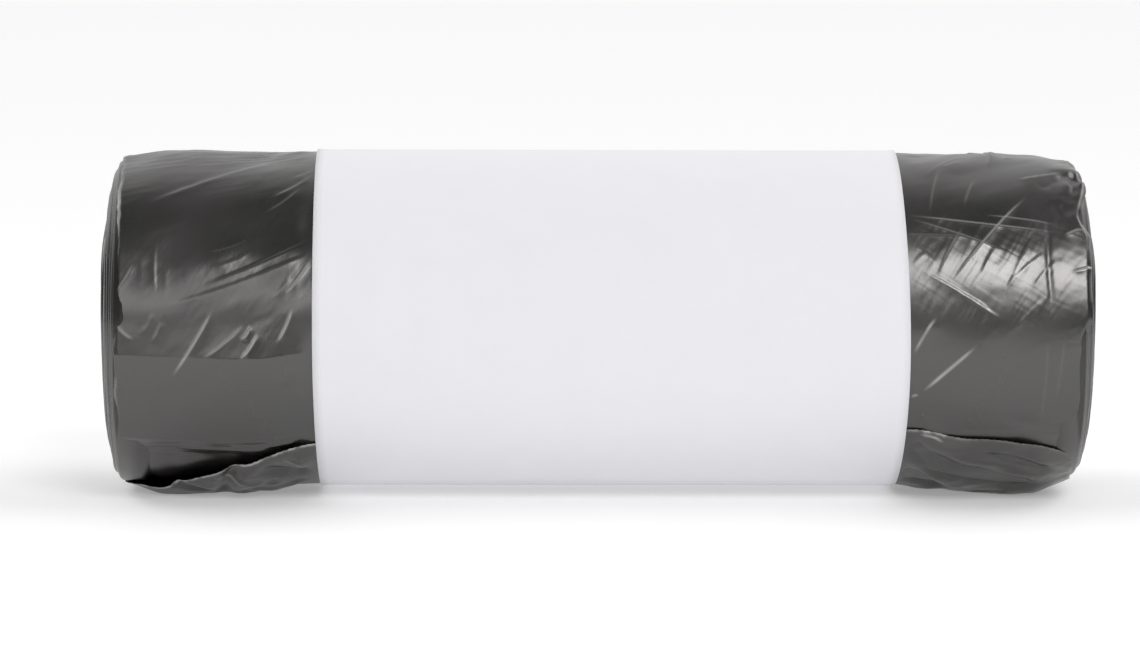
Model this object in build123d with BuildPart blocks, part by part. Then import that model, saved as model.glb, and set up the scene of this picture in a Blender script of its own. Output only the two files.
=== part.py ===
"""A coreless roll of bin bags lying on its side, held shut by a glued paper band.

The bags are one long strip of flattened film tube, folded in three lengthwise and wound with no core,
so the roll is a single solid whose section is a spiral: it steps down by one strip at the free tail.
The axis is +X, the roll rests at Z = 0, and the side that the tail hangs on faces -Y.
"""

import os
from math import cos, degrees, radians, sin, sqrt

from build123d import *

os.makedirs("parts", exist_ok=True)

# Driving dimensions, in millimetres and degrees.
roll_length = 200.0  # the strip's folded width, which is the length of the inner turns
waist_radius = 34.0  # the outermost turn where the paper band draws it in
strip_step = 0.24  # the folded strip's thickness, which shows as a step at its free tail
tail_angle = 225.0  # where the tail ends, measured from +Y towards +Z
sag = 2.2  # how much wider across the loose turns are outside the band
loosening_length = 7.0  # run in which the turns widen from the band's edge to their loose width
flat_width = 16.0  # the flat spot that the roll's weight presses into each end
outer_setback = 4.4  # how far the loose outer turns stop short of the inner turns, at each end
outer_turns_depth = 1.6  # radial depth of those outer turns
dome_width = 20.0  # the inner turns fall back over this radial width, from the flat middle to the outer turns
eye_width = 14.0  # the hollow left where the roll slid off its winding bar, pressed to an oval
eye_height = 8.0
groove_pitch = 3.2  # the turns part in bundles of about this depth, which shows as a spiral on each end
groove_width = 0.35
groove_depth = 0.8  # measured from the end of the outer turns
groove_margin = 2.0  # solid turns left beside the eye and beside the outer turns
band_width = 118.0
band_offset = 2.0  # the band was slipped on a little to the right of the middle
paper_thickness = 0.15
paper_clearance = 0.05  # air between the outermost turn and the paper
band_overlap = 20.0  # length round the roll of the glued lap
lap_angle = -38.0  # where the lap's outer edge lies, on the back of the roll

# Worked out from them.
loose_radius = waist_radius + sag / 2
flat_depth = loose_radius - sqrt(loose_radius**2 - (flat_width / 2) ** 2)
loose_axis_height = loose_radius - flat_depth
waist_axis_height = loose_axis_height + sag / 2  # both sections share one tangent along the top
outer_half_length = roll_length / 2 - outer_setback
inner_turns_radius = loose_radius - outer_turns_depth
band_inner_radius = waist_radius + strip_step / 4 + paper_clearance
lap_sweep = degrees(band_overlap / band_inner_radius)


def toward(angle):
    """Unit vector at an angle in the section's plane."""
    return Vector(cos(radians(angle)), sin(radians(angle)))


def spiral_quarters(first_radius, pitch, quarters, axis_height):
    """Centre, radius and start angle of each quarter arc of a spiral that winds inwards from the tail.

    From the tail the film runs under the roll, up the back and over the top, so the angle grows.
    """
    step = pitch / 4
    centre = Vector(0, axis_height) + (toward(tail_angle) - toward(tail_angle + 90)) * (step / 2)
    arcs = []
    for index in range(quarters):
        angle = tail_angle + 90 * index
        arcs.append((centre, first_radius - step * index, angle))
        centre = centre + toward(angle + 90) * step
    return arcs


def turn_section(radius, axis_height):
    """The outline of the outermost turn, closed by the strip's step at the tail."""
    with BuildSketch() as section:
        with BuildLine() as outline:
            for centre, arc_radius, angle in spiral_quarters(radius, strip_step, 4, axis_height):
                CenterArc(centre, arc_radius, angle, 90)
            Line(outline.edges()[-1] @ 1, outline.edges()[0] @ 0)
        make_face()
    return section.sketch


def groove_section(axis_height):
    """The thin spiral gap between bundles of turns, from the outer turns in to the eye."""
    outer_radius = inner_turns_radius - groove_margin
    turns = (outer_radius - eye_width / 2 - groove_margin) / groove_pitch
    arcs = spiral_quarters(outer_radius, groove_pitch, int(4 * turns), axis_height)
    with BuildSketch() as section:
        with BuildLine():
            for centre, arc_radius, angle in arcs:
                inner_arc = CenterArc(centre, arc_radius, angle, 90)
                outer_arc = CenterArc(centre, arc_radius + groove_width, angle, 90)
                if angle == tail_angle:
                    Line(inner_arc @ 0, outer_arc @ 0)
            Line(inner_arc @ 1, outer_arc @ 1)
        make_face()
    return section.sketch


waist_section = turn_section(waist_radius, waist_axis_height)
loose_section = turn_section(loose_radius, loose_axis_height)

# The wound bags: one solid, drawn in by the band, looser at both ends, where the inner turns dome outwards.
with BuildPart() as bag_roll:
    with BuildSketch(Plane.YZ.offset(band_offset)):
        add(waist_section)
    extrude(amount=band_width / 2, both=True)
    for side in (-1, 1):
        band_edge = band_offset + side * band_width / 2
        loose_start = band_edge + side * loosening_length
        with BuildSketch(Plane.YZ.offset(band_edge)):
            add(waist_section)
        with BuildSketch(Plane.YZ.offset(loose_start)):
            add(loose_section)
        loft()
        with BuildSketch(Plane.YZ.offset(loose_start)):
            add(loose_section)
        extrude(amount=side * outer_half_length - loose_start)
        with BuildSketch(Plane((0, 0, loose_axis_height), x_dir=(side, 0, 0), z_dir=(0, 0, side))):
            with BuildLine():
                dome_foot = (outer_half_length, inner_turns_radius - dome_width)
                dome = EllipticalCenterArc(dome_foot, outer_setback, dome_width, start_angle=0, arc_size=90)
                Polyline(dome @ 0, (roll_length / 2, 0), (outer_half_length, 0), dome @ 1)
            make_face()
        revolve(axis=Axis((0, 0, loose_axis_height), (1, 0, 0)))
    split(bisect_by=Plane.XY, keep=Keep.TOP)
    with BuildSketch(Plane.YZ.offset(-roll_length / 2)):
        with Locations((0, loose_axis_height)):
            SlotOverall(eye_width, eye_height)
    extrude(amount=roll_length, mode=Mode.SUBTRACT)
    for side in (-1, 1):
        with BuildSketch(Plane.YZ.offset(side * roll_length / 2)):
            add(groove_section(loose_axis_height))
        extrude(amount=-side * (outer_setback + groove_depth), mode=Mode.SUBTRACT)
bag_roll.part.label = "bag_roll"
export_step(bag_roll.part, "parts/bag_roll.step")

# The band: a strip of paper brought round the roll, its end glued over its start on the back.
with BuildPart() as paper_band:
    with BuildSketch(Plane.YZ.offset(band_offset - band_width / 2)):
        with Locations((0, waist_axis_height)):
            Circle(band_inner_radius + paper_thickness)
            Circle(band_inner_radius, mode=Mode.SUBTRACT)
        with BuildLine():
            axis_point = (0, waist_axis_height)
            lap_inner = CenterArc(axis_point, band_inner_radius, lap_angle, lap_sweep)
            lap_outer = CenterArc(axis_point, band_inner_radius + 2 * paper_thickness, lap_angle, lap_sweep)
            Line(lap_inner @ 0, lap_outer @ 0)
            Line(lap_inner @ 1, lap_outer @ 1)
        make_face()
    extrude(amount=band_width)
paper_band.part.label = "paper_band"
export_step(paper_band.part, "parts/paper_band.step")

overall = Compound([bag_roll.part, paper_band.part]).bounding_box()
print("bag_roll", bag_roll.part.volume, bag_roll.part.bounding_box())
print("paper_band", paper_band.part.volume, paper_band.part.bounding_box())
print("overall", overall.size, overall.min, overall.max)
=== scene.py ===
# %% [markdown]
# # A roll of bin bags with a paper band
# The roll is one long strip of thin black film, folded lengthwise, wound up without a core and held shut by
# a paper band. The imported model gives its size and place. This lesson builds what the eye sees: the spiral
# ends, the loose outermost bag with its puckers and creases, the band, and the studio around them.

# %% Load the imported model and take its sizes
import math

import bpy
import numpy as np
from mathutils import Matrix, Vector


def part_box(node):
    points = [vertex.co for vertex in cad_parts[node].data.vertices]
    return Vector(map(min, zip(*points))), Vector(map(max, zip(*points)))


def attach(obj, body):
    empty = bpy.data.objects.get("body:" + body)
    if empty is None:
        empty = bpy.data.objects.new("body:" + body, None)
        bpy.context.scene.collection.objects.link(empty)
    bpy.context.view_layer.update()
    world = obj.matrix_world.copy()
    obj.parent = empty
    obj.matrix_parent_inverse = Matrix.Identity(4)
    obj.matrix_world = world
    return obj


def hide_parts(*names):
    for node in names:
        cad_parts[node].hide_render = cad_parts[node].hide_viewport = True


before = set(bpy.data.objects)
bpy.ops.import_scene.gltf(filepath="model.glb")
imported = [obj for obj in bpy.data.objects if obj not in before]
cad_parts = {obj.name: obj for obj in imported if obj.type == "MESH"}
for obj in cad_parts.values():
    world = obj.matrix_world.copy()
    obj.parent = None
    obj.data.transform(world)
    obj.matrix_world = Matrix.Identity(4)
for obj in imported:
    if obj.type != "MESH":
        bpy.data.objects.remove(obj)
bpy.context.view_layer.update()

MM = 0.001  # one millimetre in metres; the roll's own sizes are in millimetres below

roll_low, roll_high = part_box("bag_roll")
band_low, band_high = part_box("paper_band")
half_length = roll_high.x / MM
loose_radius = (roll_high.y - roll_low.y) / 2 / MM
loose_axis = roll_high.z / MM - loose_radius
band_radius = (band_high.z - band_low.z) / 2 / MM
band_axis = (band_high.z + band_low.z) / 2 / MM
band_left = band_low.x / MM
band_right = band_high.x / MM
print("roll", round(2 * half_length), "mm long, radius", round(loose_radius, 2))
print("band from", round(band_left), "to", round(band_right), "mm, radius", round(band_radius, 2))

# %% [markdown]
# ## The camera
# A long lens from about a metre away, a little above the roll, keeps the roll's long sides nearly parallel.
# The camera stands to the left of the middle, so the right end is turned away from it a little more.

# %% Camera
camera_distance = 1026  # millimetres, measured square to the roll
camera_rise = 6.5  # degrees above the point it looks at
camera_x = -21.8
look_x = -5.45
look_height = 33.7
lens_length = 158.4
sensor_width = 36
camera_tilt = 0.22  # degrees that the camera is tilted about its own line of sight


def make_camera():
    rise = math.radians(camera_rise)
    target = Vector((look_x, 0, look_height)) * MM
    back, up = camera_distance * math.cos(rise), camera_distance * math.sin(rise)
    place = Vector((camera_x, -back, look_height + up)) * MM
    data = bpy.data.cameras.new("camera")
    data.lens = lens_length
    data.sensor_width = sensor_width
    camera = bpy.data.objects.new("camera", data)
    camera.location = place
    turn = (target - place).to_track_quat("-Z", "Y").to_euler()
    turn.rotate_axis("Z", math.radians(camera_tilt))
    camera.rotation_euler = turn
    bpy.context.scene.collection.objects.link(camera)
    bpy.context.scene.camera = camera
    print("camera at", [round(value, 3) for value in camera.location])


make_camera()

# %% [markdown]
# ## A helper for meshes
# Film and paper are sheets, and a sheet is a grid of points: rows one way, columns the other. So one helper
# joins neighbouring points into four-sided faces, and another turns points and faces into a mesh.


# %% Grid mesh
def grid_faces(rows, columns, closed=False):
    """Quads between neighbouring rows and columns of points, wrapping round when closed."""
    last = columns if closed else columns - 1
    row, column = np.meshgrid(np.arange(rows - 1), np.arange(last), indexing="ij")
    beside = (column + 1) % columns
    corners = (row * columns + column, row * columns + beside,
               (row + 1) * columns + beside, (row + 1) * columns + column)
    return np.stack(corners, -1).reshape(-1, 4)


def make_mesh(name, points, faces, material, painted_glint=None):
    """A smooth-shaded mesh from points in millimetres.

    A painted highlight, from 0 to 1 at each point, is kept as an attribute for the finish.
    """
    mesh = bpy.data.meshes.new(name)
    mesh.from_pydata((points * MM).tolist(), [], faces.tolist())
    mesh.update()
    mesh.polygons.foreach_set("use_smooth", [True] * len(mesh.polygons))
    piece = bpy.data.objects.new(name, mesh)
    bpy.context.scene.collection.objects.link(piece)
    mesh.materials.append(material)
    if painted_glint is not None:
        mesh.attributes.new("painted_glint", "FLOAT", "POINT").data.foreach_set("value", painted_glint.astype(np.float32))
    print(name, len(points), "points,", len(faces), "faces")
    return piece


print("a grid of 3 by 4 points has", len(grid_faces(3, 4)), "faces")

# %% [markdown]
# ## A helper for materials
# A material is a small network of nodes. Blender's own calls for adding a node and setting its inputs are
# wordy, so two helpers keep the materials below short enough to read.


# %% Node helper
def add_node(tree, kind, values=None):
    """Add a node to a tree and set the named inputs."""
    node = tree.nodes.new(kind)
    for name, value in (values or {}).items():
        node.inputs[name].default_value = value
    return node


def two_tone(tree, low, high, first, second):
    """A colour ramp from the first colour at low to the second at high."""
    ramp = tree.nodes.new("ShaderNodeValToRGB")
    for stop, position, colour in zip(ramp.color_ramp.elements, (low, high), (first, second)):
        stop.position = position
        stop.color = (*colour, 1)
    return ramp


print("helpers for materials: add_node and two_tone")

# %% [markdown]
# ## Black film
# The bags are thin black polythene: nearly black inside, with a soft sheen that carries most of what we see.
# So the base colour is close to black and the finish is in the reflection. Blowing and winding the film
# leaves fine wrinkles, and fainter lines that run round the roll. They are too fine for the mesh, so they are
# bumps in the material: noise squeezed along one direction.


# %% Wrinkles and lines in the film
def film_bumps(tree, place, shader):
    """Tilt the shader's normal with fine wrinkles and with lines that run round the roll."""
    link = tree.links.new
    stretch = add_node(tree, "ShaderNodeMapping", {"Scale": (1.0, 0.45, 0.45)})
    wrinkles = add_node(tree, "ShaderNodeTexNoise", {"Scale": 420, "Detail": 5, "Roughness": 0.55})
    soft_bump = add_node(tree, "ShaderNodeBump", {"Strength": 0.4, "Distance": 0.00006})
    link(place.outputs["Object"], stretch.inputs["Vector"])
    link(stretch.outputs["Vector"], wrinkles.inputs["Vector"])
    link(wrinkles.outputs["Fac"], soft_bump.inputs["Height"])

    run = add_node(tree, "ShaderNodeMapping", {"Scale": (1.0, 0.05, 0.05)})
    lines = add_node(tree, "ShaderNodeTexNoise", {"Scale": 800, "Detail": 3, "Roughness": 0.5})
    line_bump = add_node(tree, "ShaderNodeBump", {"Strength": 0.35, "Distance": 0.00003})
    link(place.outputs["Object"], run.inputs["Vector"])
    link(run.outputs["Vector"], lines.inputs["Vector"])
    link(lines.outputs["Fac"], line_bump.inputs["Height"])
    link(soft_bump.outputs["Normal"], line_bump.inputs["Normal"])
    link(line_bump.outputs["Normal"], shader.inputs["Normal"])


print("the film gets two layers of fine bumps")

# %% [markdown]
# ## The film's sheen and colour
# The sheen drifts from place to place, and so does the black, which is a little warmer in some places. One
# slow noise steers both. A pale colour is painted along creases and along torn and folded edges, as the
# highlight they catch: the loose film's meshes store it as an attribute, which mixes the pale colour in.

# %% Film material
film_dark = (0.008, 0.009, 0.008)
film_warm = (0.013, 0.011, 0.011)
# The pale colour painted along creases and edges as the highlight they catch.
painted_glint_colour = (0.42, 0.41, 0.40)
film_reflection = (1.0, 0.975, 0.965)


def film_material():
    material = bpy.data.materials.new("black_film")
    material.use_nodes = True
    tree = material.node_tree
    link = tree.links.new
    shader = tree.nodes["Principled BSDF"]
    shader.inputs["IOR"].default_value = 1.6
    shader.inputs["Specular IOR Level"].default_value = 1.0
    shader.inputs["Specular Tint"].default_value = (*film_reflection, 1)
    place = add_node(tree, "ShaderNodeTexCoord")
    film_bumps(tree, place, shader)

    drift = add_node(tree, "ShaderNodeTexNoise", {"Scale": 55, "Detail": 4})
    gloss = add_node(tree, "ShaderNodeMapRange", {"From Min": 0.3, "From Max": 0.7,
                                                  "To Min": 0.24, "To Max": 0.34})
    tint = two_tone(tree, 0.35, 0.65, film_dark, film_warm)
    link(place.outputs["Object"], drift.inputs["Vector"])
    link(drift.outputs["Fac"], gloss.inputs["Value"])
    link(gloss.outputs["Result"], shader.inputs["Roughness"])
    link(drift.outputs["Fac"], tint.inputs["Fac"])

    # A pale highlight painted along creases and along torn and folded edges.
    painted_glint = add_node(tree, "ShaderNodeAttribute")
    painted_glint.attribute_name = "painted_glint"
    glint_painted = tree.nodes.new("ShaderNodeMix")
    glint_painted.data_type = "RGBA"
    glint_painted.inputs["B"].default_value = (*painted_glint_colour, 1)
    link(painted_glint.outputs["Fac"], glint_painted.inputs["Factor"])
    link(tint.outputs["Color"], glint_painted.inputs["A"])
    link(glint_painted.outputs["Result"], shader.inputs["Base Color"])
    return material


film = film_material()
print("film material has", len(film.node_tree.nodes), "nodes")

# %% [markdown]
# ## Bumps and creases
# Thin film shows three kinds of relief: soft swells where it stands off the turns below, folds that run out
# from the band where it is gathered, and sharp creases left from folding the bags. A cloth simulation could
# make these, but it could not be told where each crease goes. So each is a height in millimetres over the
# unrolled film, and they are simply added up. `u` is how far a point lies outward from the band's edge, and
# `w` is the height angle round the roll: 0 at the front, 90 on top, 180 behind, 270 or -90 below.


# %% Heights over the unrolled film
degree_length = math.radians(loose_radius)


def smoothstep(low, high, value):
    """0 below low, 1 above high, and an even curve between them; low may be above high."""
    t = np.clip((value - low) / (high - low), 0, 1)
    return t * t * (3 - 2 * t)


def bell(value, middle, width):
    """1 at the middle, falling off smoothly on both sides."""
    return np.exp(-((value - middle) / width) ** 2)


def soft_noise(u, v, seed):
    """Soft random bumps from -1 to 1, about one for each unit of u and of v."""
    size = 64
    lattice = np.random.default_rng(seed).uniform(-1, 1, (size, size))
    u0, v0 = np.floor(u).astype(int), np.floor(v).astype(int)
    du, dv = u - u0, v - v0
    du, dv = du**3 * (du * (du * 6 - 15) + 10), dv**3 * (dv * (dv * 6 - 15) + 10)
    near = lattice[u0 % size, v0 % size] * (1 - du) + lattice[(u0 + 1) % size, v0 % size] * du
    far = lattice[u0 % size, (v0 + 1) % size] * (1 - du) + lattice[(u0 + 1) % size, (v0 + 1) % size] * du
    return near * (1 - dv) + far * dv


print("one degree round the roll is", round(degree_length, 3), "mm of film")

# %% [markdown]
# ## A patch of relief
# A crease in film is a small ledge: the sheet stands out on one side of the line and sinks back on the other.
# The class below holds the height of one patch of film and adds such ledges, rounded furrows and straight
# stretches to it. It also notes the pale highlight painted along each crease, where its ridge catches the
# light.


# %% Relief
class Relief:
    """Height in millimetres, and a painted highlight from 0 to 1, over a patch of film."""

    def __init__(self, u, w):
        self.u, self.w = u, w
        self.height = np.zeros_like(u)
        self.painted_glint = np.zeros_like(u)

    def measure(self, start, end, bend):
        """Place each point beside a bowed line from start to end.

        The first result is 1 beside the line's middle and fades to 0 at its ends. The second is the distance
        from the line in millimetres, above 0 on its upper side.
        """
        run = np.array([end[0] - start[0], (end[1] - start[1]) * degree_length])
        length = np.hypot(*run)
        run = run / length
        du, dw = self.u - start[0], (self.w - start[1]) * degree_length
        along = (du * run[0] + dw * run[1]) / length
        across = dw * run[0] - du * run[1] - bend * np.sin(np.clip(along, 0, 1) * math.pi)
        fade = smoothstep(-0.02, 0.3, along) * smoothstep(1.02, 0.7, along)
        return fade, across if run[0] >= 0 else -across

    def crease(self, start, end, height, width=0.6, slack=0.9, bend=0.25, painted_glint=0.5):
        """A ledge from start to end, each (u, w), where the film was once folded flat.

        The film stands out just below the line, with a steep face `width` wide that looks upwards, and sinks
        back over the distance `slack`. The ledge fades out at both ends, and bend bows it sideways.
        """
        fade, across = self.measure(start, end, bend)
        face = smoothstep(width / 2, -width / 2, across)
        self.height += fade * height * face * np.exp(np.minimum(across, 0) / slack)
        # A pale line painted along the crease, as the highlight on its ridge.
        self.painted_glint = np.maximum(self.painted_glint, painted_glint * fade * bell(across, 0, 0.22))

    def hollow(self, start, end, depth, width, bend=0.0):
        """A rounded furrow from start to end."""
        fade, across = self.measure(start, end, bend)
        self.height -= fade * depth * bell(across, 0, width)

    def flat(self, top, bottom, slack):
        """A stretch pulled straight between two height angles, with a blunt ridge along its lower edge."""
        turned = np.clip(top - self.w, 0, top - bottom)
        bulge = loose_radius * (1 / np.cos(np.radians(turned)) - 1)
        self.height += bulge * np.exp(-np.maximum(bottom - self.w, 0) * degree_length / slack)

    def spread(self, seed, count, low, high, way):
        """Random creases between two height angles, which lean the way the film is twisted."""
        rng = np.random.default_rng(seed)
        for _ in range(count):
            start = np.array([rng.uniform(1, 36), rng.uniform(low, high)])
            length = 4 + 14 * rng.random() ** 2
            lean = math.radians(rng.normal(50, 22))
            end = start + np.array([math.cos(lean) * way, math.sin(lean) / degree_length]) * length
            # Each random crease gets a faint painted highlight of its own.
            self.crease(start, end, rng.uniform(0.1, 0.35), rng.uniform(0.5, 0.8), rng.uniform(0.8, 2.5),
                        rng.normal(0, 0.6), 0.3 * rng.random() ** 2)


sample = Relief(np.array([0.0, 2.0]), np.array([0.0, 0.0]))
sample.hollow((-5, 0), (5, 0), 0.5, 1.0)
print("a furrow 0.5 mm deep lowers two points on its line to", sample.height.round(2))

# %% [markdown]
# ## The outermost bag
# The last turn of the strip is loose outside the band. It starts at a torn, perforated edge low on the front,
# runs under the roll, up the back and over the top, and ends below that edge again. Each loose end is a grid:
# rows go outward from the band, columns go round from the torn edge, closer together where creases are fine.
# The two ends are two meshes, because the band hides everything between them.

# %% Values of the loose film
outer_setback = 4.4  # how far the outermost bag stops short of the inner turns
outer_half_length = half_length - outer_setback
strip_thickness = 0.24
turn_drop = 1.5 * strip_thickness  # what one turn takes off the radius, air between the turns included
under_band = 0.2  # how far the film lies inside the paper's outer surface
tuck = 2.0  # how far the film runs on under the band
torn_w = 322.0  # the first column, which is then moved onto the torn edge's line
hidden_w = -80.0  # the last column, hidden under the flap
shear = 0.7  # degrees of twist for each millimetre outward
row_spacing = 0.28
front_spacing, flap_spacing, back_spacing = 0.24, 0.32, 0.5


def column_angles():
    """Height angles from the torn edge round to the hidden start, closer together where the eye looks."""
    angles = [torn_w]
    while angles[-1] > hidden_w:
        if -46 < angles[-1] < 60:
            spacing = front_spacing
        elif angles[-1] > 270:
            spacing = flap_spacing
        else:
            spacing = back_spacing
        angles.append(angles[-1] - spacing / degree_length)
    return np.array(angles)


print(len(column_angles()), "columns round each loose end")

# %% [markdown]
# ## From the unrolled film to the roll
# The band pinches the film, and away from it the turns spring out to their loose size. So the radius grows
# from the band's edge outward, and the axis drops with it, because the roll rests on its two loose ends.


# %% Places round the roll
def polar(x, radius, axis, w):
    """Points at a radius about the roll's axis; w is the height angle, from the front over the top."""
    theta = np.radians(540 - w)
    return np.stack((x, radius * np.cos(theta), axis + radius * np.sin(theta)), -1)


def loosened(u, w):
    """The film's radius and axis height, before it has any relief.

    It springs out over a longer run underneath and on the upper front, where it is also held closer.
    """
    run = 11 + 8 * bell(w % 360, 270, 45) + 9 * bell(w, 25, 35)
    loosening = smoothstep(0, run, u) * (1 - 0.5 * bell(w, 22, 30))
    waist = band_radius - under_band
    return waist + (loose_radius - waist) * loosening, band_axis + (loose_axis - band_axis) * loosening


print("the band's top is at", polar(0.0, band_radius, band_axis, 90).round(2), "mm")

# %% [markdown]
# ## Edges with a thickness
# A sheet with no thickness looks like a cut card at its edges. At its free edge the film rolls under itself,
# as folded film does, so a few more rows turn back there. At the torn edge two more columns show the film's
# thickness and turn back under it.

# %% Edges of the film
hem = ((-0.1, 0.14), (0.1, 0.25), (1.4, 0.3))  # how far back each row of the hem lies, and how deep
leaf = 0.14  # the thickness that shows at the torn edge
floor_gap = 0.02


def with_edges(x, radius, axis, w, side):
    """The grid of points, with the hem's rows and the torn edge's columns added to it."""
    rows = [polar(x, radius, axis, w)]
    for back, depth in hem:
        rows.append(polar(x[-1:] - side * back, radius[-1:] - depth, axis[-1:], w[-1:]))
    grid = np.concatenate(rows)
    spoke = grid[:, :1] - np.array([0, 0, loose_axis])
    spoke[..., 0] = 0
    spoke /= np.linalg.norm(spoke, axis=-1, keepdims=True)
    grid = np.concatenate((grid[:, 4:5] - spoke * leaf * 1.6, grid[:, :1] - spoke * leaf, grid), axis=1)
    grid[..., 2] = np.maximum(grid[..., 2], floor_gap)
    return grid


print("the hem turns back", hem[-1][0], "mm under the free edge")

# %% [markdown]
# ## One loose end
# Now the parts come together. The first columns are moved onto the line of the tear, with the small teeth of
# its perforation. The radius falls a little with every degree round from the tear, because each turn lies on
# the one before, and the relief is added to it. The free edge droops, is rounded over and stands out
# unevenly. A pale highlight is painted where the film was creased, torn or folded over.


# %% Film end
def film_end(name, side, band_edge, tail_line, relief, spill, drop, torn_edge_glint):
    """One loose end of the outermost bag.

    At u, tail_line gives the torn edge's height angle, and the last argument how strongly a pale highlight is
    painted along that edge. At (u, w), relief gives bumps and painted highlights. At w, spill says how far
    the free edge stands out past its usual place, and drop how far it droops towards the axis.
    """
    reach = abs(side * outer_half_length - band_edge)
    u_rows = np.linspace(-tuck, reach, int((reach + tuck) / row_spacing) + 1)
    u, w = np.meshgrid(u_rows, column_angles(), indexing="ij")
    turned = torn_w - w
    teeth = 0.7 * np.abs(((u / 1.2) % 1) - 0.5) * smoothstep(2.4, 0, turned)
    w = w + (tail_line(u) - torn_w) * smoothstep(60, 0, turned) + teeth

    radius, axis = loosened(u, w)
    radius -= turn_drop * turned / 360
    bumps = relief(u, w)
    radius += bumps.height * smoothstep(-0.5, 4, u)
    radius -= drop(w) * smoothstep(reach - 11, reach, u) ** 2 + 0.25 * smoothstep(reach - 0.8, reach, u)
    flutter = 0.2 * soft_noise(u * 0, w / 9, 77) + 0.1 * soft_noise(u * 0, w / 3, 78)
    x = band_edge + side * (u + (spill(w) + flutter) * smoothstep(reach - 7, reach, u))
    grid = with_edges(x, radius, axis, w, side)

    # Pale highlights are painted along the torn edge, in broken patches, and along the folded free edge.
    glint_patches = smoothstep(-0.5, 0.3, soft_noise(u / 0.8, w * 0, 79))
    torn_glint_line = torn_edge_glint(u) * (0.25 + 0.6 * glint_patches) * smoothstep(1.3, 0.3, turned)
    patchy = smoothstep(-0.6, 0.6, soft_noise(u * 0, w / 5, 80))
    folded_edge_glint = 0.3 * smoothstep(reach - 0.6, reach - 0.1, u) * patchy
    painted_glint = np.maximum(np.maximum(bumps.painted_glint, torn_glint_line), folded_edge_glint)
    painted_glint = np.pad(painted_glint, ((0, len(hem)), (2, 0)), mode="edge")
    faces = grid_faces(*grid.shape[:2])
    if side < 0:
        faces = faces[:, ::-1]
    return make_mesh(name, grid.reshape(-1, 3), faces, film, painted_glint.ravel())


print("the left end reaches", round(outer_half_length + band_left, 1), "mm out from the band, the right end",
      round(outer_half_length - band_right, 1), "mm")

# %% [markdown]
# ## Swells and streaks
# Between its creases the film is not flat. Slow swells follow the twist that winding puts into it, and fine
# long wrinkles lie where it is pulled tight. Random numbers from fixed seeds make both, so the roll comes out
# the same every time.


# %% Swells and streaks
def swells(u, w, way, seed):
    """Slow bumps, drawn out along the twist. They are calm on the front, where the film lies close."""
    twisted = w - way * shear * u
    calm = smoothstep(-52, -42, w) * smoothstep(85, 60, w)
    slow = soft_noise(u / 13, twisted / 17, seed) - 0.4
    quick = soft_noise(u / 6, twisted / 8, seed + 1)
    gathers = soft_noise(u / 12, twisted / 5, seed + 2)
    height = (0.4 - 0.28 * calm) * slow + (0.18 - 0.13 * calm) * quick
    height += (0.16 - 0.11 * calm) * bell(u, 4, 6) * gathers
    return height + 0.012 * soft_noise(u / 3, twisted / 2.5, seed + 3)


def streaks(u, w, lean, seed):
    """Fine long wrinkles that lean at an angle in degrees from the roll's length."""
    slope = math.radians(lean)
    along = u * math.cos(slope) + w * degree_length * math.sin(slope)
    across = w * degree_length * math.cos(slope) - u * math.sin(slope)
    wander = 0.3 * soft_noise(along / 5, across / 5, seed)
    return np.abs(soft_noise(across / 0.9 + wander, along / 9, seed + 1))


ring = np.arange(0.0, 360.0, 5.0)
print("the lowest swell 20 mm from the band is", swells(0 * ring + 20, ring, -1, 11).min().round(2), "mm")

# %% [markdown]
# ## Creases of the left end
# These are the marks a person would notice: long soft folds high on the front, and short sharp creases where
# the bags were once folded flat. Each is a line from one (u, w) to another and its height in millimetres. The
# soft folds have the width of their steep face as well. The hollows lie on the flap below the torn edge: each
# has a depth, a width, and how far it bows sideways.

# %% Creases of the left end
left_folds = (
    ((33.5, 49.3), (7.2, 77.6), 0.3, 1.6), ((29.0, 11.1), (-0.6, 29.3), 0.2, 0.9),
    ((22.1, 17.6), (-0.5, 34.8), 0.26, 1.0), ((8.7, 51.4), (-0.1, 65.0), 0.2, 0.8),
    ((10.1, 44.7), (2.8, 56.3), 0.14, 0.6), ((4.9, 61.9), (-0.5, 70.0), 0.14, 0.6),
    ((20.2, 24.3), (12.0, 30.5), 0.12, 0.6), ((21.2, 29.5), (12.4, 34.9), 0.1, 0.6),
)
left_creases = (
    ((27.7, -11.9), (19.7, 9.4), 0.3), ((21.7, -6.2), (13.6, 4.5), 0.16), ((14.0, -0.4), (12.2, 4.5), 0.24),
    ((14.2, -6.3), (10.6, 1.9), 0.3), ((6.9, -2.0), (3.9, 9.3), 0.3), ((5.3, 14.2), (0.0, 26.9), 0.3),
    ((38.9, 14.4), (35.0, 26.1), 0.24), ((30.9, 33.0), (30.7, 13.5), 0.11), ((28.9, 28.5), (29.0, 12.0), 0.1),
    ((33.6, 30.0), (33.9, 17.0), 0.1), ((37.8, 4.7), (34.9, -0.2), 0.12), ((31.9, -1.0), (29.9, 6.2), 0.12),
    ((3.0, 12.0), (0.0, 20.0), 0.16), ((8.0, 13.0), (4.5, 20.5), 0.1), ((34.0, 1.5), (31.5, 9.0), 0.1),
)
left_flap_hollows = (
    ((14.5, 316.0), (19.0, 276.0), 1.8, 1.6, 1.2), ((31.0, 300.0), (20.0, 288.0), 1.0, 1.3, 0.0),
    ((-1.0, 300.0), (12.0, 308.0), 0.9, 1.6, -1.0),
)
print(len(left_folds), "soft folds and", len(left_creases), "sharp creases on the left")

# %% [markdown]
# ## Relief of the left end
# To the listed marks come the larger forms: a stretch at half height that is pulled straight and ends in a
# blunt ridge, film that bends inwards just above the torn edge, and a flap below that edge with soft waves
# and hollows. The hidden back gets random creases.


# %% Relief of the left end
def left_tail(u):
    """Height angle of the torn edge; it falls away towards the end of the roll."""
    u = np.maximum(u, 0)
    return 318 - 0.2 * u - 0.0205 * u**2


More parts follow.
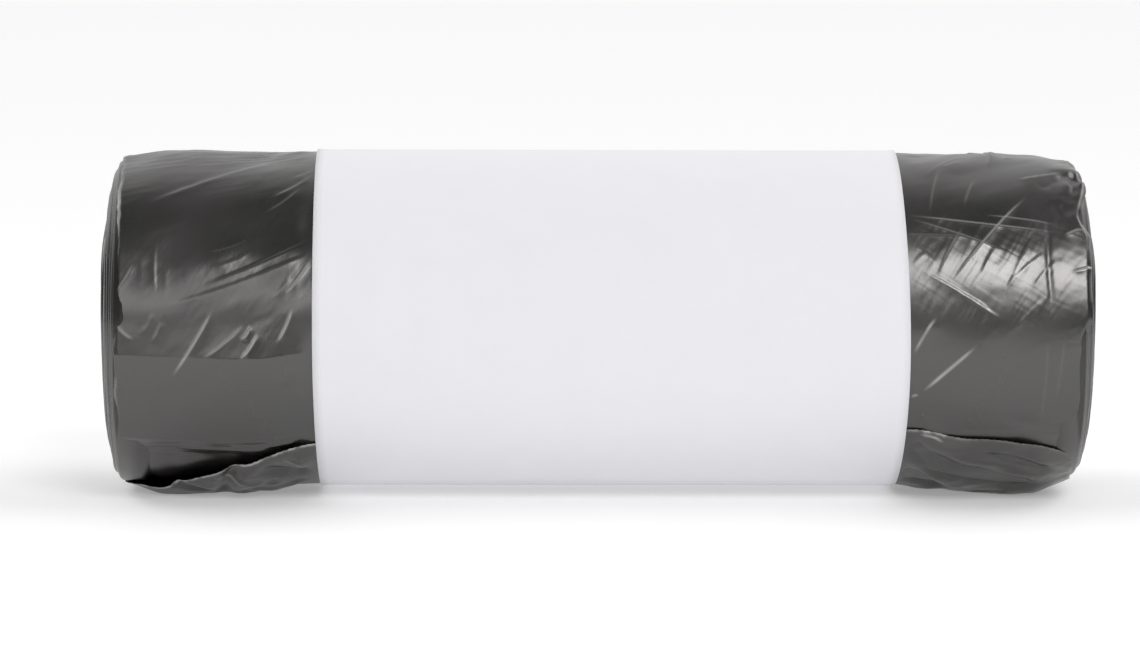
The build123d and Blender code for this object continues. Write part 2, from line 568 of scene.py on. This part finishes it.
def left_relief(u, w):
    bumps = Relief(u, w)
    bumps.height += swells(u, w, -1, 11)
    # The soft folds get only a faint painted highlight.
    for start, end, tall, wide in left_folds:
        bumps.crease(start, end, tall, wide, slack=2.0, bend=0.6, painted_glint=0.1)
    # Each sharp crease also gets a painted pale highlight, brighter for taller creases.
    for start, end, tall in left_creases:
        bumps.crease(start, end, 0.8 * tall, painted_glint=min(1.0, 9 * tall**2))
    bumps.height += 0.13 * streaks(u, w, 166, 16) * bell(w, 84, 20)
    bumps.height += 0.012 * streaks(u, w, 125, 15) * smoothstep(-40, -10, w)
    bumps.spread(21, 50, 90, 300, -1)
    bumps.hollow((42.0, 31.0), (-8.0, 42.0), 0.45, 5.5)

    ridge = -5.6 + 0.8 * soft_noise(u / 9, u * 0, 19)
    bumps.flat(7.0, ridge, slack=8.0)

    # Above the tear the film bends inwards at a steady slope, more so away from the band.
    slope, deepest = 0.34, 2.3
    bend_start = -36.5 - 0.6 * soft_noise(u / 7, u * 0, 20)
    above_tear = np.where(w < 0, bend_start - w, 0)
    inward = np.clip(slope * above_tear * degree_length, 0, deepest)
    bumps.height -= inward * (0.25 + 0.75 * smoothstep(4, 24, u)) * smoothstep(42, 33, u)
    bumps.height += 0.3 * soft_noise(u / 6, w / 1.8, 18) * bell(w, -43, 5)

    # Below the tear is the flap.
    flap = smoothstep(262, 290, w)
    waves = 0.45 * soft_noise(u / 7, w / 7 + u / 20, 31) + 0.2 * soft_noise(u / 3, w / 4, 32)
    bumps.height += flap * (0.1 + waves + 0.2 * smoothstep(12, 1, left_tail(u) - w))
    for mark in left_flap_hollows:
        bumps.hollow(*mark)
    bumps.crease((21.0, 303.0), (12.5, 297.0), 0.6, 0.8, slack=2.4, painted_glint=0.4)
    bumps.crease((7.0, 312.0), (0.5, 303.0), 0.5, 0.8, slack=2.4, painted_glint=0.2)
    return bumps


print("the left torn edge runs from", left_tail(0), "to", left_tail(40).round(1), "degrees")

# %% [markdown]
# ## Creases of the right end
# The right end is twisted the other way, and it took the most handling. Long creases cross each other high on
# the front, where the brightest light falls, and a few short pinches sit close to the free edge. Furrows lie
# above the torn edge and along the hem inside the free edge, and wide hollows on the flap.

# %% Creases of the right end
right_creases = (
    ((7.9, 17.3), (24.4, 53.3), 0.3), ((5.7, 20.3), (11.3, 39.5), 0.24), ((0.6, 23.7), (3.7, 29.9), 0.2),
    ((19.5, 18.6), (27.7, 30.9), 0.18), ((14.5, 22.0), (18.0, 33.5), 0.13), ((3.0, 22.7), (18.1, 7.8), 0.3),
    ((1.2, -5.8), (5.6, 6.9), 0.3), ((3.2, -18.9), (14.0, -1.0), 0.36), ((1.0, -21.5), (2.4, -20.4), 0.26),
    ((4.7, 43.6), (7.8, 70.5), 0.14), ((11.8, 47.9), (14.5, 63.4), 0.14), ((18.9, 14.9), (25.3, 35.6), 0.16),
    ((0.1, 43.7), (30.7, 37.5), 0.24), ((0.7, 42.4), (20.2, 30.2), 0.2), ((-1.5, 35.8), (12.4, 35.7), 0.16),
    ((15.7, 44.8), (30.4, 40.6), 0.2), ((31.5, 23.1), (36.3, 25.2), 0.4), ((30.6, 36.3), (33.9, 39.4), 0.3),
    ((27.8, 3.5), (26.6, -31.9), 0.08), ((30.9, 3.5), (29.4, -20.2), 0.08),
    ((24.0, 16.5), (30.0, 28.5), 0.14), ((10.0, 15.5), (16.0, 11.0), 0.12),
    ((1.0, 33.0), (6.0, 25.0), 0.14), ((21.0, 4.0), (27.5, 15.0), 0.1),
)
right_furrows = (
    ((19.0, -28.0), (33.0, -32.0), 0.5, 1.7, 0.0), ((8.0, -31.5), (24.0, -32.0), 0.3, 1.0, 0.0),
    ((34.2, -4.0), (34.6, 60.0), 0.45, 0.45, -0.4), ((28.6, 8.0), (28.4, 46.0), 0.16, 0.5, 0.5),
)
right_flap_hollows = (
    ((-4.0, 322.0), (32.0, 291.0), 2.0, 3.2, -1.5), ((-6.0, 312.0), (13.0, 280.0), 1.8, 2.6, -0.5),
    ((12.0, 318.0), (33.0, 302.0), 1.1, 1.5, 1.0),
)
print(len(right_creases), "sharp creases and", len(right_furrows), "furrows on the right")

# %% [markdown]
# ## Relief of the right end
# Here too the film sinks above the torn edge and waves on the flap below it. Crossed streaks break up the
# brightest part, and near the free edge the film is bunched into a knot high up.


# %% Relief of the right end
def right_tail(u):
    """Height angle of the torn edge; it stays level and drops only near the end of the roll."""
    u = np.maximum(u, 0)
    return 325.3 - 0.1 * u - 19 * (u / 38) ** 7


def right_relief(u, w):
    bumps = Relief(u, w)
    bumps.height += swells(u, w, 1, 41)
    shining = smoothstep(-5, 12, w) * smoothstep(55, 40, w)
    bumps.height += shining * (0.05 * streaks(u, w, 62, 45) + 0.02 * streaks(u, w, 148, 47))
    # Each sharp crease also gets a painted pale highlight, brighter for taller creases.
    for start, end, tall in right_creases:
        bumps.crease(start, end, 0.8 * tall, painted_glint=min(1.0, 8 * tall**2))
    bumps.spread(51, 50, 60, 300, 1)

    # Above the tear the film sinks, more so away from the band.
    sunk = 0.15 + 0.4 * smoothstep(6, 18, u)
    bumps.height -= sunk * smoothstep(-29, -36, w + 0.1 * u) * smoothstep(40, 31, u)
    bumps.height -= 0.25 * smoothstep(-20, -34, w)
    for mark in right_furrows:
        bumps.hollow(*mark)

    # Below the tear is the flap.
    flap = smoothstep(262, 290, w)
    waves = 0.55 * soft_noise(u / 8, w / 7 - u / 20, 61) + 0.15 * soft_noise(u / 3, w / 4, 62)
    bumps.height += flap * (0.15 + waves - 0.4 * smoothstep(10, 1, right_tail(u) - w))
    for mark in right_flap_hollows:
        bumps.hollow(*mark)
    # A crease along the torn edge, with a strong painted highlight.
    bumps.crease((3.0, 323.2), (8.0, 321.6), 0.3, 0.7, slack=1.2, painted_glint=0.8)

    knot = bell(u, 33.0, 3.2) * bell(w, 62, 13)
    lobes = np.abs(np.sin((w - 62) / 6.5 + 0.8 * soft_noise(u / 2, w / 6, 63)))
    bumps.height += knot * (0.3 + 1.1 * lobes + 0.3 * soft_noise(u / 1.5, w / 4, 64))
    return bumps


print("the right torn edge runs from", right_tail(0), "to", right_tail(38).round(1), "degrees")

# %% [markdown]
# ## The free edges
# The outer turns were pulled askew when the roll was handled, so their edge stands out past the rim in one
# place and droops in another. It droops most underneath, where the roll rests on it. A pale highlight is
# painted along the left tear's whole length, and along the right one only near the band.


# %% Both loose ends
def left_spill(w):
    return 0.5


def left_drop(w):
    return 0.35 + 0.5 * bell(w, 95, 30) + 2.0 * bell(w % 360, 270, 40)


# How strongly a pale highlight is painted along the left tear.
def left_torn_glint(u):
    return 1.0


def right_spill(w):
    return 0.3 + 1.7 * smoothstep(0, 8, w) * smoothstep(44, 36, w) + 1.6 * bell(w, 60, 11)


def right_drop(w):
    return 0.2 + 0.7 * bell(w, 95, 30) + 3.2 * bell(w % 360, 270, 40)


# How strongly a pale highlight is painted along the right tear, mostly near the band.
def right_torn_glint(u):
    return 0.15 + bell(u, 6, 4)


left_film = film_end("outer_bag_left", -1, band_left, left_tail, left_relief, left_spill, left_drop,
                     left_torn_glint)
right_film = film_end("outer_bag_right", 1, band_right, right_tail, right_relief, right_spill, right_drop,
                      right_torn_glint)

# %% [markdown]
# ## The end faces
# Under the outermost bag every turn ends in a soft folded edge. Together they make a domed face with a spiral
# of ridges round a hollow eye. Painted rings would look flat from the side, so the ridges are real: the
# distance from the eye says which turn a point belongs to, and each turn stands out by its own small amount.

# %% End face
eye_half_width, eye_half_height = 7.0, 4.0
eye_radius = (eye_half_width + eye_half_height) / 2
core_radius = loose_radius - 0.9  # the outermost bag lies over this
turn_pitch = 0.8  # radius taken up by the few turns that share a ridge
dome_flat = 13.5  # radius of the flat middle of the face
dome_edge = core_radius + 0.6
rim_depth = 0.75  # how far the rim lies inside the outermost bag's free edge
ring_count = 172
ring_points = 272


def end_face(side, sunken):
    """Rings of points from the eye out to the rim, which is pressed in by `sunken` at its lowest point."""
    angles = np.radians(np.arange(ring_points) * 360 / ring_points)
    share, theta = np.meshgrid(np.linspace(0, 1, ring_count), angles, indexing="ij")
    y = (eye_half_width + (core_radius - eye_half_width) * share) * np.cos(theta)
    z = (eye_half_height + (core_radius - eye_half_height) * share) * np.sin(theta)
    turns = share * (core_radius - eye_radius) / turn_pitch - theta / (2 * math.pi)
    number = np.floor(turns)
    phase = turns - number
    along = number + theta / (2 * math.pi)
    stagger = soft_noise(along * 5, along * 0, 71) + 0.6 * soft_noise(along * 13, along * 0, 72)
    stagger += 0.9 * soft_noise(number * 1.0, number * 0, 73)
    fall = np.maximum(np.hypot(y, z) - dome_flat, 0) / (dome_edge - dome_flat)
    dome = outer_setback * np.sqrt(np.clip(1 - fall**2, 0, 1))
    ridge = 0.5 * np.sqrt(np.clip(1 - (2 * phase - 1) ** 2, 0, 1))
    x = outer_half_length - rim_depth + dome + 0.22 * stagger + ridge

    # The rim is pressed in underneath, where the roll rests, and a little on top.
    low = np.clip(-np.sin(theta), 0, 1) ** 5 * smoothstep(0.5, 1, share)
    high = np.clip(np.sin(theta), 0, 1) ** 5 * smoothstep(0.6, 1, share)
    scale = 1 - (sunken * low + 0.7 * high) / core_radius
    return np.stack((side * np.minimum(x, half_length), y * scale, loose_axis + z * scale), -1)


left_face, right_face = end_face(-1, 1.8), end_face(1, 3.2)
print("each end face has", left_face.shape[0], "rings of", left_face.shape[1], "points")

# %% [markdown]
# ## The wound turns
# The two end faces are the ends of one solid body: its side is a drum that stays hidden under the outermost
# bag and the band, and its eye is a bore right through. So the rings go on from one face along the drum to
# the other face, and back through the bore to the start.

# %% Wound turns
drum_end, drum_shoulder = 92, 88  # the drum narrows between these, out of sight under the outermost bag
end_radius = core_radius - 0.1
drum_radius = core_radius - 3.3


def wound_turns(left, right):
    """One closed skin: left face, drum, right face, bore."""
    rows = [left]
    for rim, x, radius in ((left, -drum_end, end_radius), (left, -drum_shoulder, drum_radius),
                           (left, 0, drum_radius), (right, drum_shoulder, drum_radius),
                           (right, drum_end, end_radius)):
        ring = rim[-1].copy()
        ring[:, 0] = x
        ring[:, 1] *= radius / core_radius
        ring[:, 2] = loose_axis + (ring[:, 2] - loose_axis) * radius / core_radius
        rows.append(ring[None])
    bore = [right[:1] * (1 - share) + left[:1] * share for share in np.linspace(0, 1, 12)[1:-1]]
    grid = np.concatenate(rows + [right[::-1]] + bore + [left[:1]])
    points = grid[:-1].reshape(-1, 3)
    faces = grid_faces(grid.shape[0], grid.shape[1], closed=True) % len(points)
    return make_mesh("wound_turns", points, faces, film)


core = wound_turns(left_face, right_face)

# %% [markdown]
# ## Plain paper
# Machine-made paper is dull and very even. What tells it from plastic is a faint cloudiness and the fibres,
# which break up its sheen. Both come from noise in the object's own space, so nothing has to be unwrapped.

# %% Paper material
paper_dark = (0.825, 0.817, 0.848)
paper_light = (0.84, 0.832, 0.863)


def paper_material():
    material = bpy.data.materials.new("band_paper")
    material.use_nodes = True
    tree = material.node_tree
    link = tree.links.new
    shader = tree.nodes["Principled BSDF"]
    shader.inputs["Specular IOR Level"].default_value = 0.35
    place = add_node(tree, "ShaderNodeTexCoord")
    fibres = add_node(tree, "ShaderNodeTexNoise", {"Scale": 1600, "Detail": 5, "Roughness": 0.6})
    clouds = add_node(tree, "ShaderNodeTexNoise", {"Scale": 90, "Detail": 6, "Roughness": 0.6})
    tone = two_tone(tree, 0.3, 0.7, paper_dark, paper_light)
    gloss = add_node(tree, "ShaderNodeMapRange", {"To Min": 0.5, "To Max": 0.72})
    bump = add_node(tree, "ShaderNodeBump", {"Strength": 0.4, "Distance": 0.00003})
    link(place.outputs["Object"], fibres.inputs["Vector"])
    link(place.outputs["Object"], clouds.inputs["Vector"])
    link(clouds.outputs["Fac"], tone.inputs["Fac"])
    link(tone.outputs["Color"], shader.inputs["Base Color"])
    link(fibres.outputs["Fac"], gloss.inputs["Value"])
    link(gloss.outputs["Result"], shader.inputs["Roughness"])
    link(fibres.outputs["Fac"], bump.inputs["Height"])
    link(bump.outputs["Normal"], shader.inputs["Normal"])
    return material


paper = paper_material()
print("paper material has", len(paper.node_tree.nodes), "nodes")

# %% [markdown]
# ## The paper band
# The band is a strip of paper brought round the roll and glued on itself behind. It could be a simple ring,
# but paper shows its thickness at the lap and its edges are never quite straight. So the strip is built as it
# is made: it starts under the lap, goes once round, and climbs over its own start.

# %% Paper strip
paper_thickness = 0.15
lap_start = 184.4  # height angle where the strip starts, on the back of the roll
lap_sweep = 33.6  # degrees of the strip that lie over its own start


def paper_strip():
    """The strip as a closed skin: across it goes over the outside and back over the inside."""
    w = lap_start + np.append(np.arange(0, 360, 1.0), 360 + np.linspace(0, lap_sweep, 60))
    turned = w - lap_start
    radius = band_radius - paper_thickness / 2 + 1.1 * paper_thickness * smoothstep(356, 362, turned)
    radius += 0.02 * soft_noise(w / 25, w * 0, 91)
    radius += 0.15 * smoothstep(lap_sweep - 5, lap_sweep, turned - 360)

    # The strip's edges are a little uneven, and lift a little.
    below = (360 - w) % 360
    low_front = smoothstep(0, 80, below) * smoothstep(180, 120, below)
    front = bell((w - 350 + 180) % 360 - 180, 0, 50)
    left_x = band_left + 0.8 * low_front
    right_x = band_right - 0.5 + 1.05 * front
    across = np.linspace(0, 1, 61)[:, None]
    x = left_x + (right_x - left_x) * across
    lift = 0.08 * smoothstep(3, 0, np.minimum(x - left_x, right_x - x))
    lift = lift * (1 + soft_noise(x / 60, w / 20, 92))
    outside = polar(x, radius + lift + paper_thickness / 2, band_axis, w + 0 * x)
    inside = polar(x, radius + lift - paper_thickness / 2, band_axis, w + 0 * x)
    grid = np.concatenate((outside, inside[::-1], outside[:1]))
    count, columns = len(grid) - 1, grid.shape[1]
    faces = grid_faces(count + 1, columns) % (count * columns)

    # A row of narrow faces closes the skin at each end of the strip.
    half = np.arange(count // 2 - 1)
    near, far = half, count - 1 - half
    caps = []
    for column, order in ((0, 1), (columns - 1, -1)):
        caps.append(np.stack((near, near + 1, far - 1, far), -1)[:, ::order] * columns + column)
    faces = np.concatenate([faces] + caps)[:, ::-1]
    return make_mesh("paper_strip", grid[:-1].reshape(-1, 3), faces, paper)


strip = paper_strip()

# %% [markdown]
# ## What each piece stands for
# Every visual piece hides the imported part whose place it takes and is attached to the body it moves with.
# The roll has no moving parts, so all four ride on the one body.

# %% Say what each piece stands for
for piece in (left_film, right_film, core):
    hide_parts("bag_roll")
    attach(piece, "root")
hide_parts("paper_band")
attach(strip, "root")
print("the film stands for bag_roll and the paper for paper_band")

# %% [markdown]
# ## The floor
# A plain pale floor does two things: it takes the roll's soft shadow, and its reflection lights the lower
# front of the film. It glows a little, as a lit table does, so that it stays nearly white round the shadow.

# %% Floor
floor_tone = (0.8, 0.8, 0.8)
floor_glow = 0.27


def make_floor():
    mesh = bpy.data.meshes.new("floor")
    far = 6.0  # metres from the middle to each side
    mesh.from_pydata([(-far, -far, 0), (far, -far, 0), (far, far, 0), (-far, far, 0)], [], [(0, 1, 2, 3)])
    floor = bpy.data.objects.new("floor", mesh)
    bpy.context.scene.collection.objects.link(floor)
    material = bpy.data.materials.new("pale_floor")
    material.use_nodes = True
    shader = material.node_tree.nodes["Principled BSDF"]
    shader.inputs["Base Color"].default_value = (*floor_tone, 1)
    shader.inputs["Roughness"].default_value = 0.8
    shader.inputs["Specular IOR Level"].default_value = 0.2
    shader.inputs["Emission Color"].default_value = (1, 1, 1, 1)
    shader.inputs["Emission Strength"].default_value = floor_glow
    mesh.materials.append(material)
    print("floor", 2 * far, "m across")


make_floor()

# %% [markdown]
# ## Soft boxes
# Film is a dark mirror, so it is lit by what it reflects. Two soft boxes in front draw the bright bands: a
# dim one low on the left, and a brighter one higher up on the right. On a cylinder a light shows at half the
# angle that it stands at, which is why their height matters more than their size.

# %% Soft boxes
roll_middle = Vector((0, 0, 0.035))


def soft_box(name, place, width, height, glow):
    """An area light facing the roll; glow is how bright its surface looks, where white paper is about 1."""
    data = bpy.data.lights.new(name, "AREA")
    data.shape = "RECTANGLE"
    data.size = width
    data.size_y = height
    data.energy = glow * math.pi * width * height
    light = bpy.data.objects.new(name, data)
    light.location = place
    light.rotation_euler = (roll_middle - Vector(place)).to_track_quat("-Z", "Y").to_euler()
    bpy.context.scene.collection.objects.link(light)
    print(name, "gives", round(data.energy, 2), "W")


def at_elevation(degrees, distance, x):
    """A place in front of the roll, in metres, seen from its foot at an angle above the floor."""
    rise = math.radians(degrees)
    return (x, -distance * math.cos(rise), distance * math.sin(rise))


left_place = at_elevation(degrees=20.5, distance=1.25, x=-0.26)
right_place = at_elevation(degrees=38.5, distance=1.25, x=0.28)
soft_box("left_softbox", left_place, width=0.5, height=0.27, glow=2.9)
soft_box("right_softbox", right_place, width=0.42, height=0.52, glow=8.2)

# %% [markdown]
# ## The room
# The rest of the light comes from the room. Its ceiling is dim, which keeps the upper front of the film dark,
# and the wall behind is lighter, which lights the film's top. Panels overhead on the left and right light the
# paper from above without showing in the film. All of it is one formula of direction: X is 1 to the right, Y
# is 1 behind and Z is 1 overhead. Two helpers keep the formula readable.


# %% Helpers for the room
def smooth_ramp(tree, source, low, high, most, least=0.0):
    """From least, where the source is low, smoothly to most, where it is high."""
    node = add_node(tree, "ShaderNodeMapRange", {"From Min": low, "From Max": high,
                                                 "To Min": least, "To Max": most})
    node.interpolation_type = "SMOOTHSTEP"
    tree.links.new(source, node.inputs["Value"])
    return node.outputs["Result"]


def combine(tree, operation, first, second=None):
    """One step of arithmetic on one or two sockets."""
    node = tree.nodes.new("ShaderNodeMath")
    node.operation = operation
    tree.links.new(first, node.inputs[0])
    if second is not None:
        tree.links.new(second, node.inputs[1])
    return node.outputs[0]


print("helpers for the room: smooth_ramp and combine")

# %% [markdown]
# ## Walls, ceiling and panels
# The panels glow where three ramps meet: far enough to one side, high enough up, and not in front of the
# roll. The wall is one ramp from the front to the back. The two are added up and set the world's strength.

# %% Room
panel_glow = 2.5
room_glow = 0.13
wall_glow = 0.95


def make_world():
    """A dim room, a lighter wall behind, and bright panels overhead on the left and right."""
    world = bpy.data.worlds.new("studio")
    bpy.context.scene.world = world
    world.use_nodes = True
    tree = world.node_tree
    link = tree.links.new
    split = add_node(tree, "ShaderNodeSeparateXYZ")
    link(add_node(tree, "ShaderNodeTexCoord").outputs["Generated"], split.inputs[0])

    sideways = smooth_ramp(tree, combine(tree, "ABSOLUTE", split.outputs["X"]), 0.33, 0.5, panel_glow)
    high_up = smooth_ramp(tree, split.outputs["Z"], 0.52, 0.75, 1.0)
    overhead = smooth_ramp(tree, split.outputs["Y"], -0.5, -0.15, 1.0)
    panels = combine(tree, "MULTIPLY", combine(tree, "MULTIPLY", sideways, high_up), overhead)
    room = smooth_ramp(tree, split.outputs["Y"], 0.0, 0.65, wall_glow, room_glow)
    background = tree.nodes["Background"]
    background.inputs["Color"].default_value = (1, 1, 1, 1)
    link(combine(tree, "ADD", panels, room), background.inputs["Strength"])


make_world()
bpy.context.scene.view_settings.view_transform = "Standard"
print("room glow", room_glow, "wall glow", wall_glow, "panel glow", panel_glow)

# %% [markdown]
# ## Finish

# %% Finish
print("the scene is built")
